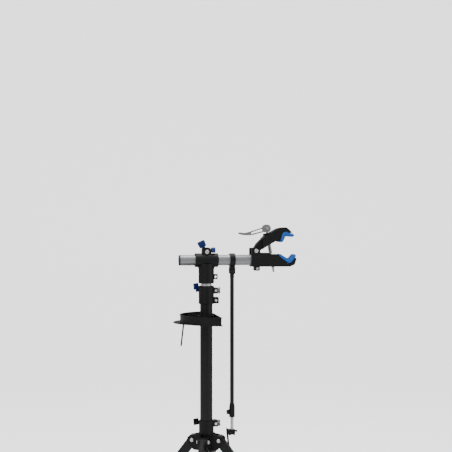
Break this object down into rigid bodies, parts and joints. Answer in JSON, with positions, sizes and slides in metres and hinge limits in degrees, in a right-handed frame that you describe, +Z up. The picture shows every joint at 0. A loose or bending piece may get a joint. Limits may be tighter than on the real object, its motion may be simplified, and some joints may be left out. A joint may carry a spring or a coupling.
{
  "type": "bike repair stand",
  "caption": "Free-standing repair stand with folding splayed legs, a telescoping mast, a padded clamp arm, a parts tray and a hanging handlebar rod.",
  "frame": {"origin": "on the floor under the mast's axis", "axes": "+Z up the mast, +X along the arm towards the clamp, +Y away from the side where the bolt heads show"},
  "size_m": [0.7602, 0.7602, 1.2285],
  "materials": {
    "black_paint": "satin black powder coat",
    "black_plastic": "fine-grained matte black nylon",
    "bush_plastic": "smooth dark acetal",
    "silver_tube": "satin anodised",
    "silver_lever": "bead-blasted",
    "bolt_steel": "bright zinc plate",
    "rod_steel": "zinc plated thread",
    "black_steel": "black oxide",
    "blue_plastic": "dark blue, satin gloss",
    "pad_rubber": "soft bright blue",
    "black_rubber": "matte"
  },
  "bodies": {
    "mast": {"main_tube": "black_paint", "tube_plug": "black_plastic", "mast_collar": "black_plastic", "mast_lever_bolt": "bolt_steel", "mast_collar_bolt": "bolt_steel", "strut_hub": "black_paint", "strut_hub_pins": "bolt_steel"},
    "mast_lever": {"mast_lever": "blue_plastic"},
    "swivel_bush": {"mast_bush": "bush_plastic"},
    "post": {"inner_tube": "silver_tube", "tee_fitting": "black_plastic", "tee_bolt": "bolt_steel"},
    "tee_lever": {"tee_lever": "blue_plastic"},
    "tee_knob": {"tee_knob": "blue_plastic"},
    "roll_bush": {"arm_bush": "bush_plastic"},
    "arm": {"arm_tube": "silver_tube", "arm_end_cap": "black_plastic", "clamp_body": "black_plastic", "clamp_body_bolt": "bolt_steel", "lower_pad": "pad_rubber", "jaw_hinge_bolt": "bolt_steel", "rod_band": "black_plastic", "band_screws": "bolt_steel"},
    "jaw": {"upper_jaw": "black_plastic", "upper_pad": "pad_rubber", "cam_seat": "black_plastic"},
    "barrel_nut": {"barrel_nut": "rod_steel", "jaw_spring": "rod_steel"},
    "clamp_rod": {"clamp_rod": "rod_steel"},
    "cam_lever": {"cam_lever": "silver_lever"},
    "rod": {"rod_tube": "black_paint", "rod_sleeve": "black_plastic"},
    "rod_screw": {"rod_screw": "black_plastic"},
    "rod_end": {"rod_inner": "silver_tube", "rod_saddle": "black_plastic"},
    "strap": {"handlebar_strap": "black_rubber"},
    "tray_ring": {"tray_ring": "black_plastic"},
    "tray": {"tray": "black_plastic"},
    "hex_key": {"hex_key": "black_steel"},
    "leg_collar": {"leg_collar": "black_plastic", "leg_pins": "bolt_steel", "leg_lever_bolt": "bolt_steel"},
    "leg_lever": {"leg_lever": "black_plastic"},
    "leg_1": {"leg_tube_1": "black_paint", "leg_foot_1": "black_rubber"},
    "strut_1": {"strut_1": "black_paint"},
    "leg_2": {"leg_tube_2": "black_paint", "leg_foot_2": "black_rubber"},
    "strut_2": {"strut_2": "black_paint"},
    "leg_3": {"leg_tube_3": "black_paint", "leg_foot_3": "black_rubber"},
    "strut_3": {"strut_3": "black_paint"},
    "leg_4": {"leg_tube_4": "black_paint", "leg_foot_4": "black_rubber"},
    "strut_4": {"strut_4": "black_paint"}
  },
  "joints": [
    {"name": "mast_lever_flip", "type": "hinge", "parent": "mast", "child": "mast_lever", "pos_m": [0.033, 0.022, 0.991], "axis": [0, 0, -1], "range_deg": [0, 100]},
    {"name": "mast_swivel", "type": "hinge", "parent": "mast", "child": "swivel_bush", "pos_m": [0, 0, 0.95], "axis": [0, 0, 1], "range_deg": [-50, 50]},
    {"name": "mast_lift", "type": "slide", "parent": "swivel_bush", "child": "post", "axis": [0, 0, 1], "range_m": [0, 0.8]},
    {"name": "tee_lever_flip", "type": "hinge", "parent": "post", "child": "tee_lever", "pos_m": [0, 0.024, 1.1295], "axis": [-0.9135, 0, -0.4067], "range_deg": [0, 100]},
    {"name": "tee_knob_spin", "type": "hinge", "parent": "post", "child": "tee_knob", "pos_m": [0.0165, -0.008, 1.1365], "axis": [1, 0, 0], "continuous": true},
    {"name": "arm_roll", "type": "hinge", "parent": "post", "child": "roll_bush", "pos_m": [0, 0, 1.1], "axis": [1, 0, 0], "continuous": true},
    {"name": "arm_slide", "type": "slide", "parent": "roll_bush", "child": "arm", "axis": [1, 0, 0], "range_m": [-0.006, 0.05]},
    {"name": "jaw_close", "type": "hinge", "parent": "arm", "child": "jaw", "pos_m": [0.179, 0, 1.133], "axis": [0, 1, 0], "range_deg": [0, 22], "deforming": ["jaw_spring"]},
    {"name": "nut_turn", "type": "hinge", "parent": "arm", "child": "barrel_nut", "pos_m": [0.244, 0, 1.081], "axis": [0, 1, 0], "range_deg": [0, 12.31]},
    {"name": "rod_feed", "type": "slide", "parent": "barrel_nut", "child": "clamp_rod", "axis": [0.1704, 0, -0.9854], "range_m": [0, 0.024]},
    {"name": "cam_flip", "type": "hinge", "parent": "clamp_rod", "child": "cam_lever", "pos_m": [0.221, 0, 1.214], "axis": [0, 1, 0], "range_deg": [0, 110]},
    {"name": "rod_swing", "type": "hinge", "parent": "arm", "child": "rod", "pos_m": [0.094, 0, 1.0585], "axis": [0, -1, 0], "range_deg": [0, 72]},
    {"name": "rod_extend", "type": "slide", "parent": "rod", "child": "rod_end", "axis": [0, 0, -1], "range_m": [-0.03, 0.28]},
    {"name": "rod_screw_spin", "type": "hinge", "parent": "rod", "child": "rod_screw", "pos_m": [0.0775, 0, 0.551], "axis": [-1, 0, 0], "continuous": true},
    {"name": "strap_swing", "type": "hinge", "parent": "rod_end", "child": "strap", "pos_m": [0.0755, 0, 0.482], "axis": [0, -1, 0], "range_deg": [-10, 50], "deforming": ["handlebar_strap"]},
    {"name": "tray_slide", "type": "slide", "parent": "mast", "child": "tray_ring", "axis": [0, 0, 1], "range_m": [-0.15, 0.025]},
    {"name": "tray_turn", "type": "hinge", "parent": "tray_ring", "child": "tray", "pos_m": [0, 0, 0.88], "axis": [0, 0, 1], "range_deg": [-50, 50]},
    {"name": "hex_key_lift", "type": "slide", "parent": "tray", "child": "hex_key", "axis": [0.1132, 0, 0.9936], "range_m": [0, 0.1]},
    {"name": "base_fold", "type": "slide", "parent": "mast", "child": "leg_collar", "axis": [0, 0, 1], "range_m": [0, 0.0931]},
    {"name": "leg_lever_flip", "type": "hinge", "parent": "leg_collar", "child": "leg_lever", "pos_m": [0.033, 0.022, 0.513], "axis": [0, 0, -1], "range_deg": [0, 100]},
    {"name": "leg_1_hinge", "type": "hinge", "parent": "leg_collar", "child": "leg_1", "pos_m": [0.04525, -0.01828, 0.455], "axis": [0.3746, 0.9272, 0], "range_deg": [0, 31.5]},
    {"name": "strut_1_hinge", "type": "hinge", "parent": "mast", "child": "strut_1", "pos_m": [0.03709, -0.01498, 0.115], "axis": [-0.3746, -0.9272, 0], "range_deg": [0, 32.74]},
    {"name": "leg_2_hinge", "type": "hinge", "parent": "leg_collar", "child": "leg_2", "pos_m": [0.01828, 0.04525, 0.455], "axis": [-0.9272, 0.3746, 0], "range_deg": [0, 31.5]},
    {"name": "strut_2_hinge", "type": "hinge", "parent": "mast", "child": "strut_2", "pos_m": [0.01498, 0.03709, 0.115], "axis": [0.9272, -0.3746, 0], "range_deg": [0, 32.74]},
    {"name": "leg_3_hinge", "type": "hinge", "parent": "leg_collar", "child": "leg_3", "pos_m": [-0.04525, 0.01828, 0.455], "axis": [-0.3746, -0.9272, 0], "range_deg": [0, 31.5]},
    {"name": "strut_3_hinge", "type": "hinge", "parent": "mast", "child": "strut_3", "pos_m": [-0.03709, 0.01498, 0.115], "axis": [0.3746, 0.9272, 0], "range_deg": [0, 32.74]},
    {"name": "leg_4_hinge", "type": "hinge", "parent": "leg_collar", "child": "leg_4", "pos_m": [-0.01828, -0.04525, 0.455], "axis": [0.9272, -0.3746, 0], "range_deg": [0, 31.5]},
    {"name": "strut_4_hinge", "type": "hinge", "parent": "mast", "child": "strut_4", "pos_m": [-0.01498, -0.03709, 0.115], "axis": [-0.9272, 0.3746, 0], "range_deg": [0, 32.74]}
  ],
  "couplings": [
    {"joint": "nut_turn", "follows": "jaw_close", "ratio": 0.54612},
    {"joint": "rod_feed", "follows": "jaw_close", "m_per_rad": 0.061263},
    {"joint": "leg_1_hinge", "follows": "base_fold", "rad_per_m": 5.8115},
    {"joint": "strut_1_hinge", "follows": "base_fold", "rad_per_m": 6.0432},
    {"joint": "leg_2_hinge", "follows": "base_fold", "rad_per_m": 5.8115},
    {"joint": "strut_2_hinge", "follows": "base_fold", "rad_per_m": 6.0432},
    {"joint": "leg_3_hinge", "follows": "base_fold", "rad_per_m": 5.8115},
    {"joint": "strut_3_hinge", "follows": "base_fold", "rad_per_m": 6.0432},
    {"joint": "leg_4_hinge", "follows": "base_fold", "rad_per_m": 5.8115},
    {"joint": "strut_4_hinge", "follows": "base_fold", "rad_per_m": 6.0432}
  ]
}
